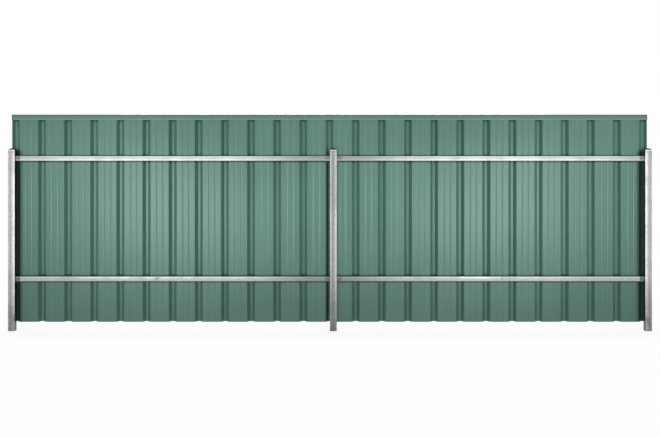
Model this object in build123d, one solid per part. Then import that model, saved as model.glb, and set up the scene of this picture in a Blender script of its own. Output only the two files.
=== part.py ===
from build123d import *
import math
import os

# Post and rail fence in millimetres. X runs along the fence and Z is up from the ground.
# Y = 0 is the posts' middle plane, and the sheets stand on the +Y side.

# Roll-formed sheets
sheet_count = 6
pans_per_sheet = 4
rib_pitch = 190.5
rib_base = 59
rib_crest = 19
rib_depth = 29
swage_offset = 22
swage_width = 9
swage_depth = 1.8
sheet_thickness = 0.48
sheet_height = 1500
ground_gap = 57.5
lap_gap = 0.2
lap_edge_gap = 2

# Capping over the sheets' top edges
capping_thickness = 0.55
capping_height = 39
capping_bend_radius = 4
capping_top_gap = 9.5
capping_front_gap = 0.4

# Posts of square tube, each a little to one side of a rib, with the whole line shifted along the sheets
post_size = 50
post_wall = 2
post_corner_radius = 4
post_height = 1313
post_rib_offset = 22
middle_post_offset = 24
post_line_shift = 3.5

# Moulded caps pushed into the posts' tops
cap_flange_inset = 1
cap_flange_thickness = 1.5
cap_rise = 10
cap_dome_inset = 4
cap_dome_slope = 8
cap_plug_gap = 0.3
cap_plug_depth = 18
cap_wall = 2.5

# Rails of square tube, flush with the posts at the back
rail_size = 35
rail_wall = 1.6
rail_corner_radius = 3
lower_rail_height = 376
upper_rail_drop = 63

# Folded brackets that hold the rail ends
bracket_length = 36
bracket_wall = 1.6
bracket_bend_radius = 1.6
bracket_back_gap = 0.5
bracket_screw_spacing = 18
bracket_rail_screw_reach = 24
socket_gap = 0.3
rail_end_gap = 2

# Hexagon-head screws and blind rivets, with eight-sided shanks to keep the many copies light
shank_sides = 8
shank_clearance = 0.2
hole_margin = 0.5
screw_shank = 4.8
screw_head_across = 8
screw_head_height = 3.6
sheet_screw_length = 16
bracket_screw_length = 16
rivet_shank = 4
rivet_head = 8
rivet_head_height = 1.2
rivet_tail = 6
rivet_tail_length = 4
rivet_drop = 17

# Planes and places that follow from the sizes above
sheet_plane = post_size / 2
sheet_cover = pans_per_sheet * rib_pitch
run_length = sheet_count * sheet_cover
first_rib = -run_length / 2
sheet_top = ground_gap + sheet_height
rail_middle = sheet_plane - rail_size / 2
rail_heights = {"lower": lower_rail_height, "upper": post_height - upper_rail_drop}
post_places = {
    "left": post_line_shift + first_rib - post_rib_offset,
    "middle": post_line_shift + middle_post_offset,
    "right": post_line_shift - first_rib + post_rib_offset,
}
bays = {"left": ("left", "middle"), "right": ("middle", "right")}


def parallel_points(points, distance):
    # Corners of the line that runs to the left of another at a fixed distance
    steps = [(Vector(b) - Vector(a)).normalized() for a, b in zip(points, points[1:])]
    normals = [Vector(-step.Y, step.X) for step in steps]
    before = normals[:1] + normals
    after = normals + normals[-1:]
    return [
        Vector(point) + (one + two) * (distance / (1 + one.dot(two)))
        for point, one, two in zip(points, before, after)
    ]


def folded_section(path, thickness, bend_radius=0):
    # Face of a folded sheet. The path is its right-hand side, and the bends have one inside radius.
    left = parallel_points(path, thickness)
    outside_radius = bend_radius + thickness if bend_radius else 0
    path_radii = []
    left_radii = []
    for start, corner, end in zip(path, path[1:], path[2:]):
        turn = (Vector(corner) - Vector(start)).cross(Vector(end) - Vector(corner)).Z
        path_radii.append(outside_radius if turn > 0 else bend_radius)
        left_radii.append(bend_radius if turn > 0 else outside_radius)
    sides = FilletPolyline(*path, radius=path_radii), FilletPolyline(*left, radius=left_radii)
    ends = Line(path[0], left[0]), Line(path[-1], left[-1])
    return make_face([edge for line in sides + ends for edge in line.edges()])


def square_tube(size, wall, corner_radius):
    outside = RectangleRounded(size, size, corner_radius)
    bore = size - 2 * wall
    return outside - RectangleRounded(bore, bore, corner_radius - wall)


def post_cap():
    # A flange on the post's end at Z = 0, with a low dome above it and a hollow plug below
    flange_size = post_size - 2 * cap_flange_inset
    flange_corner = post_corner_radius - cap_flange_inset
    flange = RectangleRounded(flange_size, flange_size, flange_corner)
    dome_base = post_size - 2 * cap_dome_inset
    dome_top = dome_base - 2 * cap_dome_slope
    dome = loft([
        Pos(0, 0, cap_flange_thickness) * Rectangle(dome_base, dome_base),
        Pos(0, 0, cap_rise) * Rectangle(dome_top, dome_top),
    ])
    plug_size = post_size - 2 * (post_wall + cap_plug_gap)
    plug_corner = post_corner_radius - post_wall - cap_plug_gap
    hollow = plug_size - 2 * cap_wall
    plug = RectangleRounded(plug_size, plug_size, plug_corner) - Rectangle(hollow, hollow)
    flange = extrude(flange, cap_flange_thickness, dir=(0, 0, 1))
    return flange + dome + extrude(plug, cap_plug_depth, dir=(0, 0, -1))


def rib_half_width(level, inset):
    # Half the rib's width at a height above the pan, with its faces moved inwards
    web_run = (rib_base - rib_crest) / 2
    web_length = math.hypot(web_run, rib_depth)
    return rib_base / 2 - (web_run * level + web_length * inset) / rib_depth


def rib_path(centre, inset, left_level, right_level):
    crest_level = rib_depth - inset
    crest_half = rib_half_width(crest_level, inset)
    return [
        (centre - rib_half_width(left_level, inset), left_level),
        (centre - crest_half, crest_level),
        (centre + crest_half, crest_level),
        (centre + rib_half_width(right_level, inset), right_level),
    ]


def pan_path(centre):
    # Two small swages stiffen each pan
    path = []
    for swage in (centre - swage_offset, centre + swage_offset):
        path.append((swage - swage_width / 2, 0))
        path.append((swage, swage_depth))
        path.append((swage + swage_width / 2, 0))
    return path


def sheet_section():
    # The under-lap rib on the left nests inside the neighbour's over-lap rib, and both
    # end in a free edge short of the pan beside them
    path = rib_path(0, sheet_thickness + lap_gap, lap_edge_gap, 0)
    for pan in range(pans_per_sheet):
        path += pan_path((pan + 0.5) * rib_pitch)
        last = pan == pans_per_sheet - 1
        edge_level = sheet_thickness + lap_edge_gap if last else 0
        path += rib_path((pan + 1) * rib_pitch, 0, 0, edge_level)
    return folded_section(path, sheet_thickness)


def capping_section():
    # Across the fence, from the front lip's foot up, over the top and down the far lip
    front = sheet_plane - capping_front_gap - capping_thickness
    back = sheet_plane + rib_depth + sheet_thickness + capping_thickness
    top = sheet_top + capping_top_gap + capping_thickness
    foot = top - capping_height
    path = [
        (back, foot),
        (back, top),
        (front, top),
        (front, foot),
    ]
    return folded_section(path, capping_thickness, capping_bend_radius)


def bracket_section(height):
    # A channel round the rail's top, front and underside. The rail rests on its lower flange.
    back = sheet_plane - bracket_back_gap
    front = sheet_plane - rail_size - socket_gap - bracket_wall
    top = height + rail_size / 2 + socket_gap + bracket_wall
    foot = height - rail_size / 2 - bracket_wall
    path = [
        (back, top),
        (front, top),
        (front, foot),
        (back, foot),
    ]
    return folded_section(path, bracket_wall, bracket_bend_radius)


def bracket_plate(height):
    # End plate inside the channel, flat against the post
    back = sheet_plane - bracket_back_gap
    front = sheet_plane - rail_size - socket_gap - bracket_wall / 2
    top = height + rail_size / 2 + socket_gap + bracket_wall / 2
    foot = height - rail_size / 2 - bracket_wall / 2
    middle = ((front + back) / 2, (foot + top) / 2)
    return Pos(*middle) * Rectangle(back - front, top - foot)


def prism(across, sides, bottom, top):
    polygon = RegularPolygon(across / 2, sides, major_radius=False)
    return Pos(0, 0, bottom) * extrude(polygon, top - bottom, dir=(0, 0, 1))


def screw(length):
    # Head above its seat at Z = 0, shank below
    head = prism(screw_head_across, 6, 0, screw_head_height)
    return head + prism(screw_shank, shank_sides, -length, 0)


def rivet(grip):
    # Formed rivet: head above its seat, tail below the sheets that it grips
    head = prism(rivet_head, shank_sides, 0, rivet_head_height)
    shank = prism(rivet_shank, shank_sides, -grip, 0)
    tail = prism(rivet_tail, shank_sides, -grip - rivet_tail_length, -grip)
    return head + shank + tail


def hole(shank, depth):
    across = shank + 2 * shank_clearance
    return prism(across, shank_sides, -depth - hole_margin, hole_margin)


def rail_ends(bay):
    # Where a bay's rails stop: the post's name, its face and the direction into the bay
    first, last = bays[bay]
    return (
        (first, post_places[first] + post_size / 2, 1),
        (last, post_places[last] - post_size / 2, -1),
    )


def bracket_places():
    # Every rail end: the bracket's name, the post face, the direction into the bay and the height
    places = []
    for level, height in rail_heights.items():
        for bay in bays:
            for post, face, inward in rail_ends(bay):
                end = "inner" if post == "middle" else "outer"
                places.append((f"rail_bracket_{level}_{bay}_{end}", face, inward, height))
    return places


def sheet_screw_seats(height):
    # On the far face of every second pan
    seats = []
    for pan in range(0, sheet_count * pans_per_sheet, 2):
        x = first_rib + (pan + 0.5) * rib_pitch
        seats.append(Plane((x, sheet_plane + sheet_thickness, height), z_dir=(0, 1, 0)))
    return seats


def bracket_post_seats():
    # Two inside each bracket, on its end plate
    seats = []
    for name, face, inward, height in bracket_places():
        x = face + inward * bracket_wall
        for offset in (-bracket_screw_spacing / 2, bracket_screw_spacing / 2):
            seats.append(Plane((x, rail_middle, height + offset), z_dir=(inward, 0, 0)))
    return seats


def bracket_rail_seats():
    # One under each bracket, on its lower flange
    seats = []
    for name, face, inward, height in bracket_places():
        x = face + inward * bracket_rail_screw_reach
        z = height - rail_size / 2 - bracket_wall
        seats.append(Plane((x, rail_middle, z), z_dir=(0, 0, -1)))
    return seats


def rivet_seats():
    # On the capping's far lip, at the middle rib of each sheet
    y = sheet_plane + rib_depth + sheet_thickness + capping_thickness
    seats = []
    for sheet in range(sheet_count):
        x = first_rib + sheet * sheet_cover + pans_per_sheet // 2 * rib_pitch
        seats.append(Plane((x, y, sheet_top - rivet_drop), z_dir=(0, 1, 0)))
    return seats


def copies(solid, seats):
    return [(seat * solid).solid() for seat in seats]


def cut(solid, cutters):
    # Only the cutters whose boxes meet the solid's box are taken off it
    box = solid.bounding_box()
    return solid - [cutter for cutter in cutters if box.overlaps(cutter.bounding_box())]


def build_posts(holes):
    section = square_tube(post_size, post_wall, post_corner_radius)
    tube = extrude(section, post_height, dir=(0, 0, 1))
    return {f"post_{place}": cut(Pos(x, 0, 0) * tube, holes) for place, x in post_places.items()}


def build_caps():
    cap = post_cap()
    return {f"post_cap_{place}": Pos(x, 0, post_height) * cap for place, x in post_places.items()}


def build_rails(holes):
    section = Plane.YZ * square_tube(rail_size, rail_wall, rail_corner_radius)
    end_room = bracket_wall + screw_head_height + rail_end_gap
    rails = {}
    for bay in bays:
        (_, start, _), (_, end, _) = rail_ends(bay)
        tube = extrude(section, end - start - 2 * end_room, dir=(1, 0, 0))
        for level, height in rail_heights.items():
            rail = Pos(start + end_room, rail_middle, height) * tube
            rails[f"rail_{level}_{bay}"] = cut(rail, holes)
    return rails


def build_brackets(holes):
    brackets = {}
    for name, face, inward, height in bracket_places():
        along = (inward, 0, 0)
        channel = extrude(Plane.YZ * bracket_section(height), bracket_length, dir=along)
        plate = extrude(Plane.YZ * bracket_plate(height), bracket_wall, dir=along)
        brackets[name] = cut(Pos(face, 0, 0) * (channel + plate), holes)
    return brackets


def build_sheets(holes):
    sheet = extrude(sheet_section(), sheet_height, dir=(0, 0, 1))
    sheets = {}
    for number in range(sheet_count):
        place = Pos(first_rib + number * sheet_cover, sheet_plane, ground_gap)
        sheets[f"sheet_{number + 1}"] = cut(place * sheet, holes)
    return sheets


def build_capping(holes):
    length = run_length + rib_base
    capping = extrude(Plane.YZ * capping_section(), length, dir=(1, 0, 0))
    return {"capping": cut(Pos(-length / 2, 0, 0) * capping, holes)}


def main():
    sheet_seats = {level: sheet_screw_seats(height) for level, height in rail_heights.items()}
    both_levels = [seat for seats in sheet_seats.values() for seat in seats]
    sheet_holes = copies(hole(screw_shank, sheet_thickness + rail_wall), both_levels)
    post_holes = copies(hole(screw_shank, bracket_wall + post_wall), bracket_post_seats())
    rail_holes = copies(hole(screw_shank, bracket_wall + rail_wall), bracket_rail_seats())
    rivet_grip = capping_thickness + sheet_thickness
    rivet_holes = copies(hole(rivet_shank, rivet_grip), rivet_seats())

    parts = build_posts(post_holes)
    parts |= build_caps()
    parts |= build_rails(sheet_holes + rail_holes)
    parts |= build_brackets(post_holes + rail_holes)
    parts |= build_sheets(sheet_holes + rivet_holes)
    parts |= build_capping(rivet_holes)
    for level, seats in sheet_seats.items():
        parts[f"sheet_screws_{level}"] = Compound(copies(screw(sheet_screw_length), seats))
    bracket_screw = screw(bracket_screw_length)
    parts["bracket_post_screws"] = Compound(copies(bracket_screw, bracket_post_seats()))
    parts["bracket_rail_screws"] = Compound(copies(bracket_screw, bracket_rail_seats()))
    parts["capping_rivets"] = Compound(copies(rivet(rivet_grip), rivet_seats()))

    os.makedirs("parts", exist_ok=True)
    for name, solid in parts.items():
        export_step(solid, f"parts/{name}.step")


main()
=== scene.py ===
import math
from functools import partial
import bmesh
import bpy
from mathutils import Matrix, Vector


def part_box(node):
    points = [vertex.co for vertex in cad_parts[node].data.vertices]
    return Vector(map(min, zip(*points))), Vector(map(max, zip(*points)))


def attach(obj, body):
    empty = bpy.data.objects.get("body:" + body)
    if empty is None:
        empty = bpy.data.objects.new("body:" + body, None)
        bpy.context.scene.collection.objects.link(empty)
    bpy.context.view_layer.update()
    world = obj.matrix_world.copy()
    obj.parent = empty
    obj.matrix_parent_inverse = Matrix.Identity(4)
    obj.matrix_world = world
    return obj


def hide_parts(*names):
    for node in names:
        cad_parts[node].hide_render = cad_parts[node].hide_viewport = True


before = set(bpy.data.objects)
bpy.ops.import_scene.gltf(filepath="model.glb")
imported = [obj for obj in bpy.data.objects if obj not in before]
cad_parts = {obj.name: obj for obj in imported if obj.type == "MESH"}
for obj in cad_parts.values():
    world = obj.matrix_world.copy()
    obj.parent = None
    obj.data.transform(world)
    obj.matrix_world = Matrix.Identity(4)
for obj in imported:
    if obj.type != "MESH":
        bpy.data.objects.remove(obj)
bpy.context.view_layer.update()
scene = bpy.context.scene
scene.view_settings.view_transform = "Standard"
print("frame loaded,", len(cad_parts), "nodes")


def tint(red, green, blue):  # a colour as a picture editor shows it
    shares = [channel / 255 for channel in (red, green, blue)]
    return tuple(((c + 0.055) / 1.055) ** 2.4 if c > 0.04 else c / 12.92 for c in shares) + (1.0,)


def newTree(name, kind, inputs, outputs):  # sockets are listed by their kind
    tree = bpy.data.node_groups.new(name, kind)
    for side, sockets in (("INPUT", inputs), ("OUTPUT", outputs)):
        for socketKind, labels in sockets.items():
            for label in labels:
                tree.interface.new_socket(name=label, in_out=side, socket_type="NodeSocket" + socketKind)
    return tree, tree.nodes.new("NodeGroupInput").outputs, tree.nodes.new("NodeGroupOutput").inputs


def plug(tree, socket, value):
    if isinstance(value, bpy.types.NodeSocket):
        tree.links.new(value, socket)
    else:
        socket.default_value = value


def addNode(tree, kind, settings, values):
    node = tree.nodes.new(kind)
    for key, value in settings.items():
        setattr(node, key, value)
    for key, value in values.items():
        plug(tree, node.inputs[key], value)
    return node.outputs


def calc(tree, operation, *values):
    return addNode(tree, "ShaderNodeMath", {"operation": operation}, dict(enumerate(values)))[0]


def parted(tree, vector):
    return addNode(tree, "ShaderNodeSeparateXYZ", {}, {"Vector": vector})


def noise(tree, vector, scale, detail, roughness=0.5):
    return addNode(tree, "ShaderNodeTexNoise", {}, {
        "Vector": vector, "Scale": scale, "Detail": detail, "Roughness": roughness})


def mapped(tree, interpolation, value, low, high, toLow, toHigh):
    return addNode(tree, "ShaderNodeMapRange", {"interpolation_type": interpolation}, {
        "Value": value, "From Min": low, "From Max": high, "To Min": toLow, "To Max": toHigh})["Result"]


def spread(tree, value, low, high, toLow=0.0, toHigh=1.0):
    return mapped(tree, "LINEAR", value, low, high, toLow, toHigh)


def ramp(tree, value, low, high, toLow=0.0, toHigh=1.0):  # eased at both ends
    return mapped(tree, "SMOOTHSTEP", value, low, high, toLow, toHigh)


# Node trees for the steel: thicken gives a wall its thickness on the side away from its faces

weldDistance = 1e-6


def thicken(tree, wall, thickness, finish, inside, cutEdge):
    turned = addNode(tree, "GeometryNodeFlipFaces", {}, {"Mesh": wall})
    inner = addNode(tree, "GeometryNodeExtrudeMesh", {"mode": "FACES"},
                    {"Mesh": turned["Mesh"], "Offset Scale": thickness, "Individual": False})
    joined = addNode(tree, "GeometryNodeJoinGeometry", {}, {"Geometry": wall})[0]
    tree.links.new(inner["Mesh"], joined.node.inputs[0])
    solid = addNode(tree, "GeometryNodeMergeByDistance", {}, {"Geometry": joined, "Distance": weldDistance})
    real = addNode(tree, "GeometryNodeRealizeInstances", {}, {"Geometry": solid["Geometry"]})
    steel = real["Geometry"]
    for part, material in ((True, finish), (inner["Top"], inside), (inner["Side"], cutEdge)):
        steel = addNode(tree, "GeometryNodeSetMaterial", {},
                        {"Geometry": steel, "Selection": part, "Material": material})["Geometry"]
    return steel


def blurred(tree, level, softness):
    return addNode(tree, "GeometryNodeBlurAttribute", {"data_type": "FLOAT"}, {
        0: level, "Iterations": softness})[0]


ribbedTree, given, result = newTree("ribbedSheet", "GeometryNodeTree", {
    "Vector": ["Place"],
    "Float": ["Left Edge", "Right Edge", "Height", "Pitch", "Rib Base", "Rib Crest", "Rib Depth",
              "Lap Inset", "Lap Narrowing", "Swage Offset", "Swage Width", "Swage Depth",
              "Wave Scale", "Wave Depth", "Thickness"],
    "Int": ["Samples Across", "Samples Up", "Swage Softness", "Bend Softness"],
    "Material": ["Finish", "Cut Edge"],
}, {"Geometry": ["Sheet"]})
reckon = partial(calc, ribbedTree)
flat = addNode(ribbedTree, "GeometryNodeMeshGrid", {}, {
    "Size X": reckon("SUBTRACT", given["Right Edge"], given["Left Edge"]),
    "Size Y": given["Height"],
    "Vertices X": given["Samples Across"],
    "Vertices Y": given["Samples Up"],
})["Mesh"]
spot = parted(ribbedTree, addNode(ribbedTree, "GeometryNodeInputPosition", {}, {})[0])
middle = reckon("MULTIPLY", reckon("ADD", given["Left Edge"], given["Right Edge"]), 0.5)
across = reckon("ADD", spot["X"], middle)
halfPitch = reckon("MULTIPLY", given["Pitch"], 0.5)
fromRib = reckon("PINGPONG", across, halfPitch)
underLap = reckon("LESS_THAN", across, halfPitch)  # only the first rib is nested
footHalf = reckon("SUBTRACT", reckon("MULTIPLY", given["Rib Base"], 0.5),
                  reckon("MULTIPLY", underLap, given["Lap Narrowing"]))
webRun = reckon("MULTIPLY", reckon("SUBTRACT", given["Rib Base"], given["Rib Crest"]), 0.5)
webRise = reckon("DIVIDE", given["Rib Depth"], webRun)
crestLevel = reckon("SUBTRACT", given["Rib Depth"], reckon("MULTIPLY", underLap, given["Lap Inset"]))
webLevel = reckon("MULTIPLY", reckon("SUBTRACT", footHalf, fromRib), webRise)
ribLevel = reckon("MINIMUM", reckon("MAXIMUM", webLevel, 0.0), crestLevel)
swageLine = reckon("SUBTRACT", halfPitch, given["Swage Offset"])
fromSwage = reckon("ABSOLUTE", reckon("SUBTRACT", fromRib, swageLine))
swageFall = reckon("DIVIDE", fromSwage, reckon("MULTIPLY", given["Swage Width"], 0.5))
swageRise = reckon("MAXIMUM", reckon("SUBTRACT", 1.0, swageFall), 0.0)
swageLevel = reckon("MULTIPLY", swageRise, given["Swage Depth"])
roundSwage = blurred(ribbedTree, swageLevel, given["Swage Softness"])
rolled = blurred(ribbedTree, reckon("ADD", ribLevel, roundSwage), given["Bend Softness"])
upward = reckon("ADD", spot["Y"], reckon("MULTIPLY", given["Height"], 0.5))
level = addNode(ribbedTree, "ShaderNodeCombineXYZ", {}, {"X": across, "Y": rolled, "Z": upward})[0]
stood = addNode(ribbedTree, "ShaderNodeVectorMath", {"operation": "ADD"}, {0: level, 1: given["Place"]})[0]
ripple = noise(ribbedTree, stood, given["Wave Scale"], detail=1.0)[0]
wave = reckon("MULTIPLY", reckon("SUBTRACT", ripple, 0.5), given["Wave Depth"])
waved = addNode(ribbedTree, "ShaderNodeCombineXYZ", {}, {"Y": wave})[0]
formed = addNode(ribbedTree, "GeometryNodeSetPosition", {}, {
    "Geometry": flat, "Position": stood, "Offset": waved})["Geometry"]
plug(ribbedTree, result["Sheet"], thicken(
    ribbedTree, formed, given["Thickness"], given["Finish"], given["Finish"], given["Cut Edge"]))

foldedTree, given, result = newTree("foldedSteel", "GeometryNodeTree", {
    "Geometry": ["Outline"],
    "Vector": ["Run"],
    "Float": ["Thickness"],
    "Int": ["Bend Steps"],
    "Material": ["Finish", "Inside", "Cut Edge"],
}, {"Geometry": ["Steel"]})
line = addNode(foldedTree, "GeometryNodeMeshToCurve", {}, {"Mesh": given["Outline"]})["Curve"]
bend = addNode(foldedTree, "GeometryNodeInputNamedAttribute", {"data_type": "FLOAT"}, {"Name": "bend"})[0]
rounded = addNode(foldedTree, "GeometryNodeFilletCurve", {"mode": "POLY"}, {
    "Curve": line, "Count": given["Bend Steps"], "Radius": bend, "Limit Radius": True})["Curve"]
edge = addNode(foldedTree, "GeometryNodeCurveToMesh", {}, {"Curve": rounded})["Mesh"]
wall = addNode(foldedTree, "GeometryNodeExtrudeMesh", {"mode": "EDGES"}, {
    "Mesh": edge, "Offset": given["Run"], "Offset Scale": 1.0})["Mesh"]
plug(foldedTree, result["Steel"], thicken(
    foldedTree, wall, given["Thickness"], given["Finish"], given["Inside"], given["Cut Edge"]))

fastenerTree, given, result = newTree("fastenerSet", "GeometryNodeTree", {
    "Geometry": ["Seats"],
    "Object": ["Fastener"],
    "Int": ["Seed"],
    "Material": ["Finish"],
}, {"Geometry": ["Fasteners"]})
shape = addNode(fastenerTree, "GeometryNodeObjectInfo", {"transform_space": "ORIGINAL"}, {
    "Object": given["Fastener"], "As Instance": True})["Geometry"]
facing = addNode(fastenerTree, "GeometryNodeInputNamedAttribute", {"data_type": "FLOAT_VECTOR"},
                 {"Name": "facing"})[0]
upright = addNode(fastenerTree, "FunctionNodeAlignRotationToVector", {"axis": "Z"}, {"Vector": facing})[0]
spin = addNode(fastenerTree, "FunctionNodeRandomValue", {"data_type": "FLOAT"}, {
    2: 0.0, 3: math.tau, "Seed": given["Seed"]})[1]
driven = addNode(fastenerTree, "FunctionNodeAxisAngleToRotation", {}, {"Axis": (0, 0, 1), "Angle": spin})[0]
turned = addNode(fastenerTree, "FunctionNodeRotateRotation", {"rotation_space": "LOCAL"}, {
    "Rotation": upright, "Rotate By": driven})[0]
placed = addNode(fastenerTree, "GeometryNodeInstanceOnPoints", {}, {
    "Points": given["Seats"], "Instance": shape, "Rotation": turned})["Instances"]
real = addNode(fastenerTree, "GeometryNodeRealizeInstances", {}, {"Geometry": placed})["Geometry"]
plug(fastenerTree, result["Fasteners"], addNode(fastenerTree, "GeometryNodeSetMaterial", {}, {
    "Geometry": real, "Material": given["Finish"]})["Geometry"])
print("node trees built")

sharpAngle = {"formed": 40, "fasteners": 32}  # degrees, past which an edge stays crisp


def newPiece(name, points, edges):
    mesh = bpy.data.meshes.new(name)
    mesh.from_pydata(points, edges, [])
    piece = bpy.data.objects.new(name, mesh)
    scene.collection.objects.link(piece)
    return piece


def smooth(mesh, kind):
    mesh.shade_smooth()
    mesh.set_sharp_from_angle(angle=math.radians(sharpAngle[kind]))


def grow(piece, tree, values, kind="formed"):  # run a tree on a piece and keep the plain mesh
    modifier = piece.modifiers.new(tree.name, "NODES")
    modifier.node_group = tree
    for item in tree.interface.items_tree:
        if item.in_out == "INPUT" and item.name in values:
            modifier[item.identifier] = values[item.name]
    graph = bpy.context.evaluated_depsgraph_get()
    plain = bpy.data.meshes.new_from_object(piece.evaluated_get(graph))
    piece.modifiers.clear()
    piece.data = plain
    for label in ("bend", "facing"):
        if label in plain.attributes:
            plain.attributes.remove(plain.attributes[label])
    smooth(plain, kind)
    return piece


# Each corner is a point and the radius of its bend
def folded(name, corners, closed, run, thickness, bendSteps, finish, inside, cutEdge):
    count = len(corners)
    edges = [(i, (i + 1) % count) for i in range(count if closed else count - 1)]
    piece = newPiece(name, [point for point, radius in corners], edges)
    bends = piece.data.attributes.new("bend", "FLOAT", "POINT")
    bends.data.foreach_set("value", [radius for point, radius in corners])
    return grow(piece, foldedTree, {"Run": run, "Thickness": thickness, "Bend Steps": bendSteps,
                                    "Finish": finish, "Inside": inside, "Cut Edge": cutEdge})


def ringed(name, rows):  # a closed shape over rows of points, from its foot to its head
    solid = bmesh.new()
    rows = [[solid.verts.new(point) for point in row] for row in rows]
    for low, high in zip(rows, rows[1:]):
        for side in range(len(low)):
            after = (side + 1) % len(low)
            solid.faces.new((low[side], low[after], high[after], high[side]))
    solid.faces.new(reversed(rows[0]))
    solid.faces.new(rows[-1])
    mesh = bpy.data.meshes.new(name)
    solid.to_mesh(mesh)
    solid.free()
    shape = bpy.data.objects.new(name, mesh)
    scene.collection.objects.link(shape)
    return shape


def turnedShape(name, rings):  # rings of corner radius, flat radius and height, from the tip to the head
    sides = 12
    rows = []
    for corner, flat, height in rings:
        reach = [(flat if side % 2 else corner, math.tau * side / sides) for side in range(sides)]
        rows.append([(radius * math.cos(angle), radius * math.sin(angle), height) for radius, angle in reach])
    return ringed(name, rows)


def squareRow(centre, half, corner, height):  # a square with rounded corners
    steps = 4
    row = []
    for turn in range(4):
        heading = math.tau * (turn + 0.5) / 4
        across = math.copysign(half - corner, math.cos(heading))
        along = math.copysign(half - corner, math.sin(heading))
        for step in range(steps + 1):
            angle = math.tau * (turn + step / steps) / 4
            row.append((centre[0] + across + corner * math.cos(angle),
                        centre[1] + along + corner * math.sin(angle), height))
    return row


def fasten(name, seats, shape, seed, finish):  # seats as point and the way the head faces
    piece = newPiece(name, [point for point, facing in seats], [])
    headings = piece.data.attributes.new("facing", "FLOAT_VECTOR", "POINT")
    headings.data.foreach_set("vector", [part for point, facing in seats for part in facing])
    return grow(piece, fastenerTree, {"Fastener": shape, "Seed": seed, "Finish": finish}, "fasteners")


def dress(piece, slot, *nodes):
    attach(piece, "root")
    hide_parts(*nodes)


# Finishes

cloudGroup, given, result = newTree("cloudAndStreak", "ShaderNodeTree", {
    "Vector": ["Vector", "Streak Stretch"], "Float": ["Cloud Scale"]}, {"Float": ["Cloud", "Streak"]})
cloud = noise(cloudGroup, given["Vector"], given["Cloud Scale"], detail=4.0, roughness=0.55)[0]
drawn = addNode(cloudGroup, "ShaderNodeVectorMath", {"operation": "MULTIPLY"}, {
    0: given["Vector"], 1: given["Streak Stretch"]})[0]
plug(cloudGroup, result["Cloud"], cloud)
plug(cloudGroup, result["Streak"], noise(cloudGroup, drawn, 1.0, detail=3.0, roughness=0.6)[0])

filmGroup, given, result = newTree("groundFilm", "ShaderNodeTree", {
    "Vector": ["Vector"], "Float": ["Reach", "Ragged Scale"]}, {"Float": ["Mask"]})
ragged = noise(filmGroup, given["Vector"], given["Ragged Scale"], detail=5.0, roughness=0.65)[0]
fade = ramp(filmGroup, parted(filmGroup, given["Vector"])["Z"], 0.0, given["Reach"], 1.0, 0.0)
plug(filmGroup, result["Mask"], calc(filmGroup, "MULTIPLY", fade, ragged))

peelGroup, given, result = newTree("finePeel", "ShaderNodeTree", {
    "Vector": ["Vector"], "Float": ["Scale"]}, {"Float": ["Height"]})
plug(peelGroup, result["Height"], noise(peelGroup, given["Vector"], given["Scale"], detail=2.0)[0])

spangleBend = {"scale": 0.8, "sway": 0.012}  # crooked edges, finer than the spangles
spangleGroup, given, result = newTree("zincSpangle", "ShaderNodeTree", {
    "Vector": ["Vector"], "Float": ["Cells"]}, {"Float": ["Tone", "Seam"]})
bendScale = calc(spangleGroup, "MULTIPLY", given["Cells"], spangleBend["scale"])
bent = noise(spangleGroup, given["Vector"], bendScale, detail=2.0)["Color"]
swayed = addNode(spangleGroup, "ShaderNodeVectorMath", {"operation": "SCALE"}, {
    0: bent, "Scale": spangleBend["sway"]})[0]
cellSpot = addNode(spangleGroup, "ShaderNodeVectorMath", {"operation": "ADD"}, {
    0: given["Vector"], 1: swayed})[0]
cells = addNode(spangleGroup, "ShaderNodeTexVoronoi", {}, {"Vector": cellSpot, "Scale": given["Cells"]})
seams = addNode(spangleGroup, "ShaderNodeTexVoronoi", {"feature": "DISTANCE_TO_EDGE"}, {
    "Vector": cellSpot, "Scale": given["Cells"]})
tone = addNode(spangleGroup, "ShaderNodeSeparateColor", {}, {"Color": cells["Color"]})["Red"]
plug(spangleGroup, result["Tone"], tone)
plug(spangleGroup, result["Seam"], seams["Distance"])

# Painted shade on the post side of the sheets, standing in for the posts' shadow, the shadow lines under the
# lip and along the rails, and the shade in the grooves: where each patch starts and is full, and its shares
# there

paintedShadeShape = {
    "endPan": (-0.04, 0.004, 0.0, 0.3),
    "endEdge": (-0.004, 0.008, 0.0, 0.7),
    "middleRib": (0.016, 0.008, 0.0, 0.6),
    "ribFoot": (0.006, 0.014, 0.0, 1.0),
    "ribFootEnd": (0.036, 0.026, 0.0, 0.6),
    "postTop": (0.02, -0.035, 0.0, 1.0),
    "groove": (0.012, 0.028, 0.0, 1.0),
    "deeperTowardsMiddle": (1.7, 0.9, 0.7, 1.4),
    "lipLine": (0.009, 0.002, 0.0, 0.12),
    "lipHollow": (0.024, 0.0, 0.0, 1.0),
    "aboveRail": (0.0125, 0.002, 0.0, 1.0),
    "fainterAbove": (-0.02, -0.01, 1.0, 0.8),
    "belowUpper": (0.0155, 0.0095, 0.0, 1.0),
    "belowLower": (0.0175, 0.0115, 0.0, 1.0),
    "hollowAbove": (0.007, 0.001, 0.0, 1.0),
    "hollowBelow": (0.021, 0.005, 0.0, 1.0),
}
paintedShadeGroup, given, result = newTree("recessPaintedShade", "ShaderNodeTree", {
    "Vector": ["Vector", "Facing"],
    "Float": ["Post Top", "End Pan", "Middle Rib", "Upper Rail", "Lower Rail", "Rail Half", "Lip Foot",
              "Sheet Front"],
}, {"Float": ["Recess", "Line", "Groove"]})
reckon = partial(calc, paintedShadeGroup)


def shadeRamp(value, patch):
    return ramp(paintedShadeGroup, value, *paintedShadeShape[patch])


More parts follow.
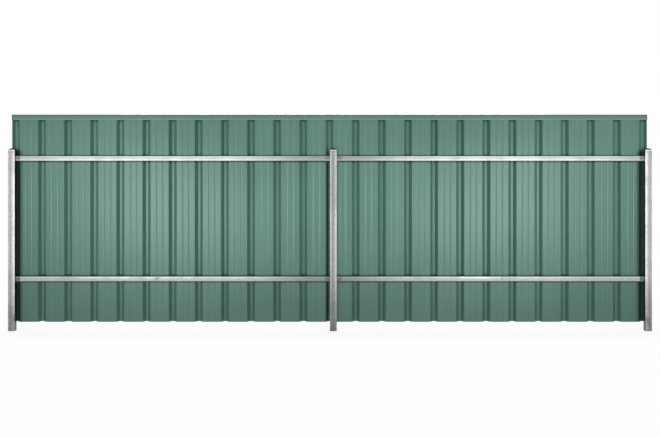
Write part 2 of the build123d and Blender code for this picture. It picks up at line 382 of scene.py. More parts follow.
spot = parted(paintedShadeGroup, given["Vector"])
postSide = reckon("LESS_THAN", parted(paintedShadeGroup, given["Facing"])["Y"], 0.0)
fromMiddle = reckon("ABSOLUTE", spot["X"])
fromEndPan = reckon("SUBTRACT", fromMiddle, given["End Pan"])
fromMiddleRib = reckon("ABSOLUTE", reckon("SUBTRACT", spot["X"], given["Middle Rib"]))
# Recess: painted shadow beside the end posts and by the middle rib, below the posts' tops
endPan = reckon("ADD", shadeRamp(fromEndPan, "endPan"), shadeRamp(fromEndPan, "endEdge"))
besidePost = reckon("MAXIMUM", endPan, shadeRamp(fromMiddleRib, "middleRib"))
ribFoot = reckon("MULTIPLY", shadeRamp(fromEndPan, "ribFoot"), shadeRamp(fromEndPan, "ribFootEnd"))
belowTop = shadeRamp(reckon("SUBTRACT", spot["Z"], given["Post Top"]), "postTop")
recess = reckon("MULTIPLY", reckon("ADD", besidePost, ribFoot), belowTop)
plug(paintedShadeGroup, result["Recess"], reckon("MULTIPLY", recess, postSide))
inGroove = shadeRamp(reckon("SUBTRACT", spot["Y"], given["Sheet Front"]), "groove")
# Line: painted shadow lines under the capping's lip and above and below the rails, reaching further down in
# the grooves
belowLip = reckon("SUBTRACT", given["Lip Foot"], spot["Z"])
lines = shadeRamp(belowLip, "lipLine")
hollows = shadeRamp(belowLip, "lipHollow")
for level, belowPatch in ((given["Upper Rail"], "belowUpper"), (given["Lower Rail"], "belowLower")):
    above = reckon("SUBTRACT", reckon("SUBTRACT", spot["Z"], level), given["Rail Half"])
    below = reckon("SUBTRACT", reckon("SUBTRACT", level, spot["Z"]), given["Rail Half"])
    beside = reckon("MULTIPLY", shadeRamp(above, "aboveRail"), shadeRamp(below, belowPatch))
    lines = reckon("MAXIMUM", lines, reckon("MULTIPLY", beside, shadeRamp(above, "fainterAbove")))
    hollow = reckon("MULTIPLY", shadeRamp(above, "hollowAbove"), shadeRamp(below, "hollowBelow"))
    hollows = reckon("MAXIMUM", hollows, hollow)
lines = reckon("MAXIMUM", lines, reckon("MULTIPLY", hollows, inGroove))
plug(paintedShadeGroup, result["Line"], reckon("MULTIPLY", lines, postSide))
# Groove: painted shade inside the grooves, deeper towards the middle
groove = reckon("MULTIPLY", inGroove, shadeRamp(fromMiddle, "deeperTowardsMiddle"))
plug(paintedShadeGroup, result["Groove"], reckon("MULTIPLY", groove, postSide))


def newFinish(name):
    finish = bpy.data.materials.new(name)
    finish.use_nodes = True
    tree = finish.node_tree
    tree.nodes.clear()
    shader = tree.nodes.new("ShaderNodeBsdfPrincipled")
    output = tree.nodes.new("ShaderNodeOutputMaterial")
    tree.links.new(shader.outputs["BSDF"], output.inputs["Surface"])
    spot = addNode(tree, "ShaderNodeTexCoord", {}, {})["Object"]
    return finish, tree, shader.inputs, spot


def useGroup(tree, group, values):
    return addNode(tree, "ShaderNodeGroup", {"node_tree": group}, values)


def blendColour(tree, factor, first, second):
    return addNode(tree, "ShaderNodeMix", {"data_type": "RGBA"}, {0: factor, 6: first, 7: second})[2]


def weathered(tree, spot, look):
    marks = useGroup(tree, cloudGroup, {
        "Vector": spot, "Cloud Scale": look["cloudScale"], "Streak Stretch": look["streakStretch"]})
    film = useGroup(tree, filmGroup, {
        "Vector": spot, "Reach": look["dustReach"], "Ragged Scale": look["raggedScale"]})
    return marks["Cloud"], marks["Streak"], film["Mask"]


def facingOf(tree):
    return addNode(tree, "ShaderNodeNewGeometry", {}, {})["Normal"]


def setRelief(tree, shader, height, strength, depth):
    plug(tree, shader["Normal"], addNode(tree, "ShaderNodeBump", {}, {
        "Height": height, "Strength": strength, "Distance": depth})["Normal"])


def paintFinish(name, look):
    finish, tree, shader, spot = newFinish(name)
    cloud, streak, film = weathered(tree, spot, look)
    colour = blendColour(tree, ramp(tree, cloud, *look["cloudRange"]), look["deep"], look["light"])
    worn = spread(tree, streak, *look["streakRange"], 0.0, look["streakShare"])
    colour = blendColour(tree, worn, colour, look["worn"])
    dusty = spread(tree, film, 0.0, look["dustFull"], 0.0, look["dustShare"])
    colour = blendColour(tree, dusty, colour, look["dust"])
    # painted shade: the dark colour stands in for shadow beside the posts, along the lip and rails, and in
    # the grooves
    if "paintedShade" in look:
        paintedShade = useGroup(tree, paintedShadeGroup, dict(fenceLines, Vector=spot, Facing=facingOf(tree)))
        for patch, share in look["paintedShadeShares"].items():
            colour = blendColour(tree, calc(tree, "MULTIPLY", paintedShade[patch], share), colour, look["paintedShade"])
    if "lipFoot" in look:  # painted highlight along the lip's foot, and painted shade on its bend
        level = parted(tree, spot)["Z"]
        aboveFoot = calc(tree, "SUBTRACT", level, look["lipFoot"])
        belowBend = calc(tree, "SUBTRACT", look["bendTop"], level)
        colour = blendColour(tree, ramp(tree, aboveFoot, *look["highlightReach"]), colour, look["highlighted"])
        colour = blendColour(tree, ramp(tree, belowBend, *look["bendReach"]), colour, look["shade"])
    plug(tree, shader["Base Color"], colour)
    smoothest = look["roughness"] - look["roughnessSway"]
    roughest = look["roughness"] + look["roughnessSway"]
    plug(tree, shader["Roughness"], ramp(tree, cloud, *look["cloudRange"], smoothest, roughest))
    shader["Specular IOR Level"].default_value = look["shine"]
    shader["Specular Tint"].default_value = look["shineTint"]
    peel = useGroup(tree, peelGroup, {"Vector": spot, "Scale": look["peelScale"]})["Height"]
    setRelief(tree, shader, peel, look["peelStrength"], look["peelDepth"])
    return finish


def zincFinish(name, look):
    finish, tree, shader, spot = newFinish(name)
    cloud, streak, film = weathered(tree, spot, look)
    cells = useGroup(tree, spangleGroup, {"Vector": spot, "Cells": look["cells"]})
    tone = spread(tree, cells["Tone"], 0.0, 1.0, 0.0, look["spangleShare"])
    colour = blendColour(tree, tone, look["zinc"], look["bloom"])
    patchy = spread(tree, cloud, *look["dullRange"], 0.0, look["dullShare"])
    colour = blendColour(tree, patchy, colour, look["dull"])
    wiped = spread(tree, streak, *look["streakRange"], 0.0, look["streakShare"])
    colour = blendColour(tree, wiped, colour, look["dull"])
    if "middle" in look:  # painted shade down the middle of each face, and a painted highlight on its corners
        half = look["half"]
        local = parted(tree, addNode(tree, "ShaderNodeMapping", {}, {
            "Vector": spot, "Location": tuple(-offset for offset in look["middle"])})[0])
        offLine = calc(tree, "MINIMUM", *[calc(tree, "ABSOLUTE", local[axis]) for axis in look["axes"]])
        band = ramp(tree, offLine, half * look["bandReach"], 0.0, 0.0, look["bandShare"])
        colour = blendColour(tree, band, colour, look["dull"])
        highlighted = ramp(tree, offLine, half * look["highlightFrom"], half * look["highlightTo"], 0.0, look["highlightShare"])
        if "highlightSide" in look:  # the painted highlight lies more along one edge than the other
            sideways = calc(tree, "MULTIPLY", local["Z"], look["highlightSide"])
            oneSide = ramp(tree, sideways, -look["sideBlend"], look["sideBlend"])
            highlighted = calc(tree, "MULTIPLY", highlighted, spread(tree, oneSide, 0.0, 1.0, look["otherSide"], 1.0))
        colour = blendColour(tree, highlighted, colour, look["paintedHighlight"])
        if "edgeShare" in look:  # painted shade: that edge is grey at its corner
            corner = ramp(tree, offLine, half * look["edgeFrom"], half * look["edgeTo"])
            corner = calc(tree, "MULTIPLY", corner, look["edgeShare"])
            colour = blendColour(tree, calc(tree, "MULTIPLY", corner, oneSide), colour, look["shade"])
    if "shadedParts" in look:  # painted shade, darker towards the posts: start, full and share
        fromMiddle = calc(tree, "ABSOLUTE", parted(tree, spot)["X"])
        for start, full, share in look["shadedParts"]:
            colour = blendColour(tree, ramp(tree, fromMiddle, start, full, 0.0, share), colour, look["deep"])
    if "smudge" in look:  # a dull mark on the face, in both bays
        part = parted(tree, spot)
        bothBays = addNode(tree, "ShaderNodeCombineXYZ", {}, {
            "X": calc(tree, "ABSOLUTE", part["X"]), "Z": part["Z"]})[0]
        fromMark = addNode(tree, "ShaderNodeVectorMath", {"operation": "DISTANCE"}, {
            0: bothBays, 1: look["smudge"]})["Value"]
        colour = blendColour(tree, ramp(tree, fromMark, *look["smudgeReach"]), colour, look["deep"])
    if "crown" in look:  # a painted highlight along the post's top edge, and a darker band just below
        fromTop = calc(tree, "SUBTRACT", look["crown"], parted(tree, spot)["Z"])
        colour = blendColour(tree, ramp(tree, fromTop, *look["crownDull"]), colour, look["dull"])
        crowned = ramp(tree, fromTop, *look["crownReach"], 0.0, look["crownShare"])
        colour = blendColour(tree, crowned, colour, look["paintedHighlight"])
    dusty = spread(tree, film, 0.0, look["dustFull"], 0.0, look["dustShare"])
    colour = blendColour(tree, dusty, colour, look["dust"])
    if "shadeSide" in look:  # painted shade on the side turned to the bay
        inward = calc(tree, "MULTIPLY", parted(tree, facingOf(tree))["X"], look["shadeSide"])
        colour = blendColour(tree, ramp(tree, inward, *look["shadeReach"]), colour, look["shade"])
    plug(tree, shader["Base Color"], colour)
    shader["Metallic"].default_value = look["metal"]
    smoothest = look["roughness"] - look["smootherBy"]
    roughest = look["roughness"] + look["rougherBy"]
    rough = spread(tree, cloud, *look["roughRange"], smoothest, roughest)
    grain = spread(tree, cells["Tone"], 0.0, 1.0, -look["grainSway"], look["grainSway"])
    plug(tree, shader["Roughness"], calc(tree, "ADD", rough, grain))
    relief = calc(tree, "ADD", spread(tree, cells["Seam"], *look["seamReach"]), streak)
    setRelief(tree, shader, relief, look["reliefStrength"], look["reliefDepth"])
    return finish


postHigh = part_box("post_left")[1]
endSheetLow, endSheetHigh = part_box("sheet_6")
upperLow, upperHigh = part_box("rail_upper_left")
lowerLow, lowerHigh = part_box("rail_lower_left")
lipLow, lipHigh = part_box("capping")
paintedShadePlaces = {"endPan": 0.077, "middleRib": -0.013}  # from the last sheet's edge, and from the middle
fenceLines = {
    "Post Top": postHigh[2],
    "End Pan": endSheetHigh[0] - paintedShadePlaces["endPan"],
    "Middle Rib": paintedShadePlaces["middleRib"],
    "Upper Rail": (upperLow[2] + upperHigh[2]) / 2,
    "Lower Rail": (lowerLow[2] + lowerHigh[2]) / 2,
    "Rail Half": (upperHigh[2] - upperLow[2]) / 2,
    "Lip Foot": lipLow[2],
    "Sheet Front": endSheetLow[1],
}
sheetPaint = {
    "deep": tint(88, 128, 113),
    "light": tint(95, 135, 120),
    "worn": tint(105, 143, 128),
    "cloudScale": 2.2,
    "cloudRange": (0.2, 0.8),
    "streakStretch": (110, 110, 0.6),
    "streakRange": (0.35, 0.75),
    "streakShare": 0.5,
    "dust": tint(74, 92, 80),
    "dustReach": 0.35,
    "dustFull": 0.7,
    "dustShare": 0.2,
    "raggedScale": 14.0,
    "roughness": 0.25,
    "roughnessSway": 0.015,
    "shine": 0.47,
    "shineTint": (0.78, 1.0, 0.9, 1.0),
    "peelScale": 650.0,
    "peelStrength": 0.1,
    "peelDepth": 0.0002,
}
cappingFinish = paintFinish("cappingPaint", dict(
    sheetPaint, deep=tint(91, 134, 117), light=tint(97, 140, 123), streakStretch=(0.6, 110, 110),
    dustShare=0.0, lipFoot=lipLow[2], highlighted=tint(120, 160, 142), highlightReach=(0.012, 0.005, 0.0, 0.75),
    bendTop=lipHigh[2], shade=tint(76, 100, 90), bendReach=(0.016, 0.004, 0.0, 0.6)))
headFinish = paintFinish("headPaint", dict(
    sheetPaint, cloudScale=60.0, streakStretch=(300, 300, 300), dustShare=0.0))
# The dark green on the sheets is painted shade and painted shadow, beside the posts, under the lip and rails,
# and in the grooves
sheetFinish = paintFinish("sheetPaint", dict(
    sheetPaint, paintedShade=tint(11, 51, 38), paintedShadeShares={"Groove": 0.2, "Line": 0.8, "Recess": 0.57}))

baseZinc = {
    "zinc": tint(142, 142, 142),
    "bloom": tint(172, 172, 172),
    "dull": tint(111, 111, 111),
    "paintedHighlight": tint(212, 214, 212),
    "shade": tint(58, 60, 59),
    "dust": tint(90, 89, 87),
    "cells": 110.0,
    "spangleShare": 0.9,
    "cloudScale": 9.0,
    "dullRange": (0.42, 0.7),
    "dullShare": 0.45,
    "streakStretch": (120, 120, 2.5),
    "streakRange": (0.45, 0.8),
    "streakShare": 0.5,
    "dustReach": 0.5,
    "dustFull": 0.6,
    "dustShare": 0.85,
    "raggedScale": 14.0,
    "metal": 0.9,
    "roughness": 0.38,
    "roughRange": (0.35, 0.7),
    "smootherBy": 0.06,
    "rougherBy": 0.1,
    "grainSway": 0.04,
    "seamReach": (0.0, 0.15, 0.0, 0.4),
    "reliefStrength": 0.12,
    "reliefDepth": 0.0003,
    "bandReach": 0.75,  # this and the next four are shares of a face's half width
    "highlightFrom": 0.7,
    "highlightTo": 0.95,
    "edgeFrom": 0.7,
    "edgeTo": 0.9,
    "sideBlend": 0.004,
    "crownDull": (0.024, 0.012, 0.0, 0.5),
    "crownReach": (0.01, 0.005),
    "shadeReach": (0.3, 0.9, 0.0, 0.85),
}
screwFinish = zincFinish("screwZinc", dict(
    baseZinc, cells=500.0, cloudScale=90.0, dustShare=0.0, streakStretch=(300, 300, 300), roughness=0.4))
insideFinish = zincFinish("insideZinc", dict(
    baseZinc, zinc=tint(52, 54, 53), bloom=tint(66, 68, 67), dull=tint(42, 43, 42), dustShare=0.0,
    roughness=0.6))
rimFinish = zincFinish("cutRim", dict(
    baseZinc, zinc=tint(202, 203, 202), bloom=tint(226, 228, 226), dullShare=0.2, dustShare=0.0, cells=600.0,
    roughness=0.4))
capFinish = paintFinish("capPlastic", dict(
    sheetPaint, deep=tint(26, 28, 28), light=tint(34, 36, 36), worn=tint(58, 60, 60), cloudScale=40.0,
    streakStretch=(160, 160, 160), streakShare=0.4, dustShare=0.0, roughness=0.45,
    shineTint=(1.0, 1.0, 1.0, 1.0), peelStrength=0.2))
print("finishes made")

# Ribbed sheets, each with its first rib nested under its neighbour's last

sheetShape = {
    "count": 6,
    "pans": 4,
    "pitch": 0.1905,
    "ribBase": 0.059,
    "ribCrest": 0.019,
    "ribDepth": 0.029,
    "swageOffset": 0.022,
    "swageWidth": 0.009,
    "swageDepth": 0.0018,
    "thickness": 0.00048,
    "lapGap": 0.0002,
    "lapEdge": 0.002,
    "sampleStep": 0.001,
    "samplesUp": 13,
    "swageSoftness": 8,
    "bendSoftness": 3,
    "waveScale": 5.0,
    "waveDepth": 0.0005,
}
sheetLow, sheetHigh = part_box("sheet_1")
sheetCover = sheetShape["pans"] * sheetShape["pitch"]
firstRib = -sheetShape["count"] * sheetCover / 2
webRun = (sheetShape["ribBase"] - sheetShape["ribCrest"]) / 2
webLength = math.hypot(webRun, sheetShape["ribDepth"])
lapInset = sheetShape["thickness"] + sheetShape["lapGap"]
lapNarrowing = lapInset * webLength / sheetShape["ribDepth"]
edgeRun = webRun / sheetShape["ribDepth"]
leftEdge = -(sheetShape["ribBase"] / 2 - lapNarrowing - sheetShape["lapEdge"] * edgeRun)
overlap = sheetShape["ribBase"] / 2 - (sheetShape["thickness"] + sheetShape["lapEdge"]) * edgeRun
rightEdge = sheetCover + overlap
for number in range(sheetShape["count"]):
    sheet = grow(newPiece(f"ribbedSheet{number + 1}", [], []), ribbedTree, {
        "Place": (firstRib + number * sheetCover, sheetLow[1], sheetLow[2]),
        "Left Edge": leftEdge,
        "Right Edge": rightEdge,
        "Height": sheetHigh[2] - sheetLow[2],
        "Samples Across": round((rightEdge - leftEdge) / sheetShape["sampleStep"]) + 1,
        "Samples Up": sheetShape["samplesUp"],
        "Pitch": sheetShape["pitch"],
        "Rib Base": sheetShape["ribBase"],
        "Rib Crest": sheetShape["ribCrest"],
        "Rib Depth": sheetShape["ribDepth"],
        "Lap Inset": lapInset,
        "Lap Narrowing": lapNarrowing,
        "Swage Offset": sheetShape["swageOffset"],
        "Swage Width": sheetShape["swageWidth"],
        "Swage Depth": sheetShape["swageDepth"],
        "Swage Softness": sheetShape["swageSoftness"],
        "Bend Softness": sheetShape["bendSoftness"],
        "Wave Scale": sheetShape["waveScale"],
        "Wave Depth": sheetShape["waveDepth"],
        "Thickness": sheetShape["thickness"],
        "Finish": sheetFinish,
        "Cut Edge": rimFinish,
    })
    dress(sheet, "painted_sheet", f"sheet_{number + 1}")
print("sheets rolled")

# Capping folded over the sheets' top edges

cappingShape = {"thickness": 0.00055, "bend": 0.00455, "bendSteps": 5}
low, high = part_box("capping")
channel = [
    ((low[0], low[1], low[2]), 0.0),
    ((low[0], low[1], high[2]), cappingShape["bend"]),
    ((low[0], high[1], high[2]), cappingShape["bend"]),
    ((low[0], high[1], low[2]), 0.0),
]
capping = folded("foldedCapping", channel, False, (high[0] - low[0], 0, 0), cappingShape["thickness"],
                 cappingShape["bendSteps"], cappingFinish, cappingFinish, rimFinish)
dress(capping, "painted_capping", "capping")
print("capping folded")

# Posts of square tube

postShape = {"wall": 0.002, "corner": 0.004, "bendSteps": 5}
postZinc = dict(baseZinc, axes=("X", "Y"), bandShare=0.75, highlightShare=0.45)
# The end posts' zinc is lighter than the middle post's: lit and shaded copies of one zinc, which is painted
# light. bandShift moves the painted shade band on each post.
endZinc = {"zinc": tint(184, 184, 184), "bloom": tint(220, 220, 220), "dull": tint(147, 147, 147)}
postSides = {
    "left": dict(endZinc, shadeSide=1.0, crownShare=1.0, bandShift=-0.006),
    "middle": {"zinc": tint(154, 154, 154), "bloom": tint(190, 190, 190), "dull": tint(122, 122, 122),
               "crownShare": 0.65, "bandShift": -0.003},
    "right": dict(endZinc, shadeSide=-1.0, crownShare=1.0, bandShift=0.006),
}
for place in ("left", "middle", "right"):
    low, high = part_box(f"post_{place}")
    corners = [(low[0], low[1]), (low[0], high[1]), (high[0], high[1]), (high[0], low[1])]
    middle = ((low[0] + high[0]) / 2 + postSides[place]["bandShift"], (low[1] + high[1]) / 2, 0.0)
    postFinish = zincFinish(f"{place}PostZinc", dict(
        postZinc, half=(high[0] - low[0]) / 2, middle=middle, crown=high[2]) | postSides[place])
    post = folded(f"{place}Post", [((x, y, low[2]), postShape["corner"]) for x, y in corners], True,
                  (0, 0, high[2] - low[2]), postShape["wall"], postShape["bendSteps"], postFinish,
                  insideFinish, rimFinish)
    dress(post, "galvanised_post", f"post_{place}")
print("posts cut")

# Moulded caps in the posts' tops: half width, corner radius and height above the post's end

capRings = [
    (0.0202, 0.0006, 0.0),  # down the inside of the hollow plug
    (0.0202, 0.0006, -0.018),
    (0.0222, 0.0012, -0.018),  # up its outside
    (0.0227, 0.0017, -0.0174),
    (0.0227, 0.0017, 0.0),
    (0.024, 0.003, 0.0),  # round the flange
    (0.024, 0.003, 0.001),
    (0.0235, 0.0025, 0.0015),
    (0.021, 0.002, 0.0015),  # up the low pyramid
    (0.0146, 0.0022, 0.0083),
    (0.0138, 0.0024, 0.009),
    (0.0124, 0.0024, 0.0097),
    (0.0108, 0.0022, 0.01),
]
for place in ("left", "middle", "right"):
    low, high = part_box(f"post_{place}")
    centre = ((low[0] + high[0]) / 2, (low[1] + high[1]) / 2)
    cap = ringed(f"{place}PostCap", [squareRow(centre, half, corner, high[2] + rise)
                                     for half, corner, rise in capRings])
    cap.data.materials.append(capFinish)
    smooth(cap.data, "formed")
    dress(cap, "cap_plastic", f"post_cap_{place}")
print("caps moulded")

# Rails of square tube

railShape = {"wall": 0.0016, "corner": 0.003, "bendSteps": 5}
railZinc = dict(baseZinc, spangleShare=0.55, dullShare=0.25, streakShare=0.25, dustShare=0.0,
                streakStretch=(2.5, 120, 120), axes=("Y", "Z"), bandShare=0.2)
# The upper rail's zinc is lighter than the lower's: lit and shaded copies of one zinc, which is painted
# light.
railLines = {
    "upper": {
        "zinc": tint(185, 190, 188),
        "bloom": tint(205, 210, 208),
        "dull": tint(165, 170, 168),
        "deep": tint(110, 112, 111),
        "roughness": 0.52,
        "paintedHighlight": tint(218, 220, 219),
        "highlightFrom": 0.2,
        "highlightTo": 0.5,
        "highlightShare": 0.9,
        "highlightSide": -1.0,
        "otherSide": 0.3,
        "edgeShare": 0.37,
        "shadedParts": ((0.75, 0.1, 0.6), (2.0, 2.2, 0.25)),
    },
    "lower": {
        "zinc": tint(158, 163, 160),
        "bloom": tint(182, 187, 184),
        "dull": tint(131, 136, 133),
        "deep": tint(96, 98, 97),
        "highlightShare": 0.8,
        "highlightSide": 1.0,
        "otherSide": 0.25,
        "edgeShare": 0.27,
        "shadedParts": ((0.6, 0.1, 0.55),),
        "smudge": (1.2515, 0.0, 0.3775),
        "smudgeReach": (0.016, 0.002, 0.0, 0.6),
    },
}
for line in ("upper", "lower"):
    for bay in ("left", "right"):
        low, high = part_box(f"rail_{line}_{bay}")
        corners = [(low[1], low[2]), (low[1], high[2]), (high[1], high[2]), (high[1], low[2])]
        middle = (0.0, (low[1] + high[1]) / 2, (low[2] + high[2]) / 2)
        railFinish = zincFinish(f"{line}{bay.title()}RailZinc", dict(
            railZinc, half=(high[2] - low[2]) / 2, middle=middle) | railLines[line])
        rail = folded(f"{line}{bay.title()}Rail", [((low[0], y, z), railShape["corner"]) for y, z in corners],
                      True, (high[0] - low[0], 0, 0), railShape["wall"], railShape["bendSteps"], railFinish,
                      insideFinish, rimFinish)
        dress(rail, "galvanised_rail", f"rail_{line}_{bay}")
print("rails cut")

# Socket brackets at the rail ends, each a channel with an end plate against its post

bracketShape = {
    "wall": 0.0016,
    "bend": 0.0032,
    "bendSteps": 4,
    "plateSteps": 1,
    "screwSpacing": 0.018,
    "railScrewReach": 0.024,
}
bracketZinc = dict(baseZinc, paintedHighlight=tint(160, 166, 163), cells=160.0, dustShare=0.0, roughness=0.45,
                   axes=("Y", "Z"), bandShare=0.2, highlightFrom=0.2, highlightTo=0.5, highlightShare=0.7, otherSide=0.2,
                   edgeShare=0.6)
# The brackets' zinc is darker than the rails': painted shade beside the posts, the lower ones darker and
# greener.
bracketSides = {
    "upper": {"zinc": tint(106, 112, 109), "bloom": tint(126, 132, 129), "highlightSide": -1.0},
    "lower": {"zinc": tint(92, 102, 98), "bloom": tint(110, 121, 117), "dull": tint(80, 89, 86),
              "highlightSide": 1.0, "highlightShare": 0.2},
}
# Which way along the fence each bracket opens
bracketEnds = {("left", "outer"): 1, ("left", "inner"): -1, ("right", "inner"): 1, ("right", "outer"): -1}
postSeats = []
railSeats = []
wall = bracketShape["wall"]
for line in ("upper", "lower"):
    low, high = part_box(f"rail_bracket_{line}_left_outer")
    middle = (0.0, (low[1] + high[1]) / 2, (low[2] + high[2]) / 2)
    bracketFinish = zincFinish(f"{line}BracketZinc", dict(
        bracketZinc, half=(high[2] - low[2]) / 2, middle=middle) | bracketSides[line])
    for (bay, end), inward in bracketEnds.items():
        node = f"rail_bracket_{line}_{bay}_{end}"
        low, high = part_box(node)
        face, mouth = (low[0], high[0]) if inward > 0 else (high[0], low[0])
        channel = [
            ((face, high[1], low[2]), 0.0),
            ((face, low[1], low[2]), bracketShape["bend"]),
            ((face, low[1], high[2]), bracketShape["bend"]),
            ((face, high[1], high[2]), 0.0),
        ]
        bracket = folded(f"{line}{bay.title()}{end.title()}Bracket", channel[::inward], False,
                         (mouth - face, 0, 0), wall, bracketShape["bendSteps"], bracketFinish, bracketFinish,
                         rimFinish)
        plateEdge = [
            ((face + inward * wall, low[1] + wall / 2, low[2] + wall / 2), 0.0),
            ((face + inward * wall, low[1] + wall / 2, high[2] - wall / 2), 0.0),
        ]
        plate = folded("endPlate", plateEdge[::inward], False, (0, high[1] - low[1] - wall / 2, 0), wall,
                       bracketShape["plateSteps"], bracketFinish, bracketFinish, rimFinish)
        both = bmesh.new()
        both.from_mesh(bracket.data)
        both.from_mesh(plate.data)
        both.to_mesh(bracket.data)
        both.free()
        bpy.data.objects.remove(plate)
        dress(bracket, "galvanised_bracket", node)
        railLow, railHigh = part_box(f"rail_{line}_{bay}")
        railDepth = (railLow[1] + railHigh[1]) / 2
        railLevel = (railLow[2] + railHigh[2]) / 2
        for offset in (-0.5, 0.5):
            seat = (face + inward * wall, railDepth, railLevel + offset * bracketShape["screwSpacing"])
            postSeats.append((seat, (inward, 0, 0)))
        railSeats.append(((face + inward * bracketShape["railScrewReach"], railDepth, low[2]), (0, 0, -1)))
print("brackets folded")

# Screws and rivets, pointing down from the seat of the head

screwShape = {
    "acrossFlats": 0.008,
    "headHeight": 0.0036,
    "flange": 0.0054,
    "shank": 0.0024,
    "root": 0.0019,
    "length": 0.016,
    "threadStep": 0.0016,
    "threadTurns": 6,
    "tip": 0.0004,
    "tipLength": 0.005,
    "flangeRings": [(1.0, 0.0), (1.0, 0.15), (0.9, 0.25)],  # shares of its radius and of the head's height
    "hexFoot": 0.3,  # shares of the head's height
    "hexTop": 0.85,
    "chamfer": (0.97, 0.94),  # shares of the half width, at the corners and at the flats
    "dishRings": [(0.72, 1.0), (0.6, 0.9)],  # shares of the half width and of the head's height
    "pansApart": 2,
}
spinSeeds = {"upper": 3, "lower": 4, "post": 5, "rail": 6, "rivet": 7}


def roundRings(radius, length, shares, start=0.0):
    return [(radius * wide, radius * wide, start + length * up) for wide, up in shares]


flatHalf = screwShape["acrossFlats"] / 2
cornerHalf = flatHalf / math.cos(math.pi / 6)
headTop = screwShape["headHeight"]
threadFoot = screwShape["tipLength"] - screwShape["length"]
rings = [(screwShape["tip"], screwShape["tip"], -screwShape["length"]),
         (screwShape["root"], screwShape["root"], threadFoot)]
for turn in range(screwShape["threadTurns"]):
    crest = threadFoot + (turn + 0.5) * screwShape["threadStep"]
    rings.append((screwShape["shank"], screwShape["shank"], crest))
    rings.append((screwShape["root"], screwShape["root"], crest + screwShape["threadStep"] / 2))
rings.append((screwShape["root"], screwShape["root"], 0.0))
rings += roundRings(screwShape["flange"], headTop, screwShape["flangeRings"])
rings += [(cornerHalf, flatHalf, headTop * screwShape["hexFoot"]),
          (cornerHalf, flatHalf, headTop * screwShape["hexTop"]),
          (flatHalf * screwShape["chamfer"][0], flatHalf * screwShape["chamfer"][1], headTop)]
rings += roundRings(flatHalf, headTop, screwShape["dishRings"])
screwBlank = turnedShape("screwBlank", rings)

rivetShape = {
    "head": 0.004,
    "headHeight": 0.0012,
    "shank": 0.002,
    "grip": 0.00103,
    "tail": 0.003,
    "tailLength": 0.004,
    "drop": 0.017,
    "tailRings": [(0.7, -1.0), (1.0, -0.6), (1.0, -0.15), (0.75, 0.0)],  # shares of radius and length
    "domeRings": [(1.0, 0.0), (1.0, 0.2), (0.9, 0.58), (0.68, 0.88), (0.4, 1.0), (0.33, 1.0), (0.29, 0.7)],
}
rings = roundRings(rivetShape["tail"], rivetShape["tailLength"], rivetShape["tailRings"], -rivetShape["grip"])
rings += [(rivetShape["shank"], rivetShape["shank"], -rivetShape["grip"]),
          (rivetShape["shank"], rivetShape["shank"], 0.0)]
rings += roundRings(rivetShape["head"], rivetShape["headHeight"], rivetShape["domeRings"])
rivetBlank = turnedShape("rivetBlank", rings)

panBack = sheetLow[1] + sheetShape["thickness"]
panCount = sheetShape["count"] * sheetShape["pans"]
for line in ("upper", "lower"):
    railLow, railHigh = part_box(f"rail_{line}_left")
    railLevel = (railLow[2] + railHigh[2]) / 2
    seats = [((firstRib + (pan + 0.5) * sheetShape["pitch"], panBack, railLevel), (0, 1, 0))
             for pan in range(0, panCount, screwShape["pansApart"])]
    screws = fasten(f"{line}SheetScrews", seats, screwBlank, spinSeeds[line], headFinish)
    dress(screws, "sheet_fasteners", f"sheet_screws_{line}")
screws = fasten("bracketPostScrews", postSeats, screwBlank, spinSeeds["post"], screwFinish)
dress(screws, "bracket_fasteners", "bracket_post_screws")
screws = fasten("bracketRailScrews", railSeats, screwBlank, spinSeeds["rail"], screwFinish)
dress(screws, "bracket_fasteners", "bracket_rail_screws")
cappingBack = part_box("capping")[1][1]
rivetLevel = sheetHigh[2] - rivetShape["drop"]
seats = [((firstRib + (sheet + 0.5) * sheetCover, cappingBack, rivetLevel), (0, 1, 0))
         for sheet in range(sheetShape["count"])]
rivets = fasten("cappingRivets", seats, rivetBlank, spinSeeds["rivet"], headFinish)
dress(rivets, "sheet_fasteners", "capping_rivets")
bpy.data.objects.remove(screwBlank)
bpy.data.objects.remove(rivetBlank)
print("fasteners set")

# Floor and surroundings: white where they are seen, and dimmer as light

plainWhite = (1.0, 1.0, 1.0, 1.0)


def seenRays(tree):
    path = addNode(tree, "ShaderNodeLightPath", {}, {})
    direct = calc(tree, "MAXIMUM", path["Is Camera Ray"], path["Is Glossy Ray"])
    return calc(tree, "MAXIMUM", direct, path["Is Transmission Ray"])


floorLook = {
    "reach": 40.0,
    "colour": tint(232, 232, 230),
    "paleFrom": 2.5,
    "paleTo": 6.0,
    "nearPale": 0.985,
    "shadowReach": 0.5,
    "shadowDeep": 0.5,
    "shadowPale": 0.91,
    "shadowSamples": 16,
}
reach = floorLook["reach"]
floorMesh = bpy.data.meshes.new("floor")
floorMesh.from_pydata([(-reach, -reach, 0), (reach, -reach, 0), (reach, reach, 0), (-reach, reach, 0)], [],
                      [(0, 1, 2, 3)])
floor = bpy.data.objects.new("floor", floorMesh)
scene.collection.objects.link(floor)
floorFinish = bpy.data.materials.new("paleFloor")
floorFinish.use_nodes = True
tree = floorFinish.node_tree
tree.nodes.clear()
matt = addNode(tree, "ShaderNodeBsdfDiffuse", {}, {"Color": floorLook["colour"]})[0]
glow = addNode(tree, "ShaderNodeEmission", {}, {"Color": plainWhite, "Strength": 1.0})[0]
spot = addNode(tree, "ShaderNodeTexCoord", {}, {})["Object"]
away = addNode(tree, "ShaderNodeVectorMath", {"operation": "LENGTH"}, {0: spot})["Value"]
pale = ramp(tree, away, floorLook["paleFrom"], floorLook["paleTo"], floorLook["nearPale"], 1.0)
openness = addNode(tree, "ShaderNodeAmbientOcclusion", {"samples": floorLook["shadowSamples"]}, {
    "Distance": floorLook["shadowReach"]})["AO"]
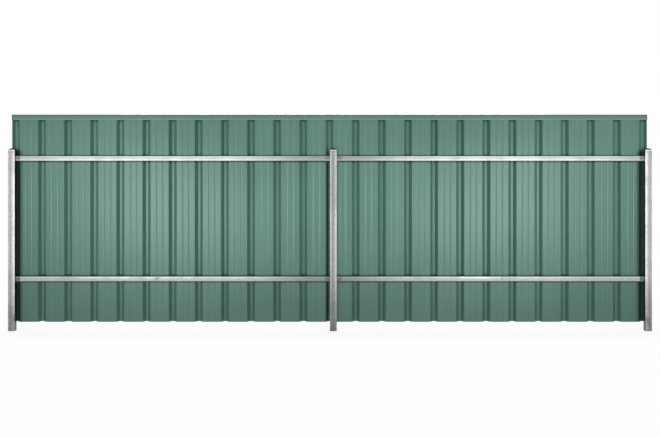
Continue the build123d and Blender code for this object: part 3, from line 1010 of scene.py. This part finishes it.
shadow = ramp(tree, openness, floorLook["shadowDeep"], 1.0, floorLook["shadowPale"], 1.0)
shown = calc(tree, "MULTIPLY", seenRays(tree), calc(tree, "MULTIPLY", pale, shadow))
surface = addNode(tree, "ShaderNodeMixShader", {}, {0: shown, 1: matt, 2: glow})[0]
tree.links.new(surface, tree.nodes.new("ShaderNodeOutputMaterial").inputs["Surface"])
floorMesh.materials.append(floorFinish)

studio = {"ambient": 0.22, "white": 1.0}
world = bpy.data.worlds.new("studio")
scene.world = world
world.use_nodes = True
tree = world.node_tree
tree.nodes.clear()
dim = addNode(tree, "ShaderNodeBackground", {}, {"Color": plainWhite, "Strength": studio["ambient"]})[0]
white = addNode(tree, "ShaderNodeBackground", {}, {"Color": plainWhite, "Strength": studio["white"]})[0]
sky = addNode(tree, "ShaderNodeMixShader", {}, {0: seenRays(tree), 1: dim, 2: white})[0]
tree.links.new(sky, tree.nodes.new("ShaderNodeOutputWorld").inputs["Surface"])

# Lights and camera


def hang(name, kind, place, target, energy):
    lamp = bpy.data.lights.new(name, kind)
    lamp.energy = energy
    fitting = bpy.data.objects.new(name, lamp)
    scene.collection.objects.link(fitting)
    fitting.location = place
    fitting.rotation_euler = (Vector(target) - fitting.location).to_track_quat("-Z", "Y").to_euler()
    fitting.visible_camera = False
    return fitting


def hangBoard(name, card, place, target):
    board = hang(name, "AREA", place, target, card["power"])
    board.data.shape = "RECTANGLE"
    board.data.size = card["wide"]
    board.data.size_y = card["tall"]
    return board


frontPlace = {"out": 29.0, "height": 9.0, "softness": 0.25}  # far away, so that the light is nearly parallel
frontLights = {
    "Wall": {"power": 16300.0, "from": 12.5, "side": 1.52, "aimHeight": 1.2, "wide": 2.3, "tall": 1.45},
    "Bay": {"power": 3500.0, "from": 13.5, "side": 1.35, "aimHeight": 0.9, "wide": 1.25, "tall": 0.7},
}
for name, light in frontLights.items():
    for sideName, side in (("left", -1), ("right", 1)):
        start = Vector((side * light["from"], -frontPlace["out"], frontPlace["height"]))
        target = Vector((side * light["side"], 0.0, light["aimHeight"]))
        lamp = hang(f"{sideName}{name}Light", "SPOT", start, target, light["power"])
        lamp.data.spot_size = 2 * math.atan(light["tall"] / (target - start).length)
        lamp.data.spot_blend = 1.0
        lamp.data.shadow_soft_size = frontPlace["softness"]
        lamp.scale = (light["wide"] / light["tall"], 1.0, 1.0)
        lamp.visible_glossy = False

cards = {
    "bayCard": {"power": 29.0, "wide": 1.65, "tall": 0.95, "out": 4.0, "side": 1.78, "height": 0.5,
                "tilt": 21.0},
    "endCard": {"power": 1.5, "wide": 0.8, "tall": 0.5, "out": 4.0, "side": 3.25, "height": 1.05,
                "tilt": 0.0},
}
for name, card in cards.items():  # pale boards that the sheets and rails mirror
    for side in (-1, 1):
        place = (side * card["side"], -card["out"], card["height"])
        board = hangBoard(name, card, place, (place[0], 0.0, place[2]))
        board.rotation_euler.rotate_axis("Z", math.radians(side * card["tilt"]))

backCard = {"power": 260.0, "wide": 5.0, "tall": 1.6, "out": 5.0, "height": 2.4, "aimHeight": 0.9}
hangBoard("backCard", backCard, (0.0, backCard["out"], backCard["height"]), (0.0, 0.0, backCard["aimHeight"]))

view = {"side": 0.0036, "back": -7.975, "height": 1.65, "lens": 59.88, "sensor": 36.0, "drop": -0.1745}
cameraData = bpy.data.cameras.new("camera")
cameraData.sensor_width = view["sensor"]
cameraData.sensor_fit = "HORIZONTAL"
cameraData.lens = view["lens"]
cameraData.shift_y = view["drop"]
camera = bpy.data.objects.new("camera", cameraData)
scene.collection.objects.link(camera)
camera.location = (view["side"], view["back"], view["height"])
camera.rotation_euler = (math.radians(90), 0, 0)
scene.camera = camera
print("stage set")
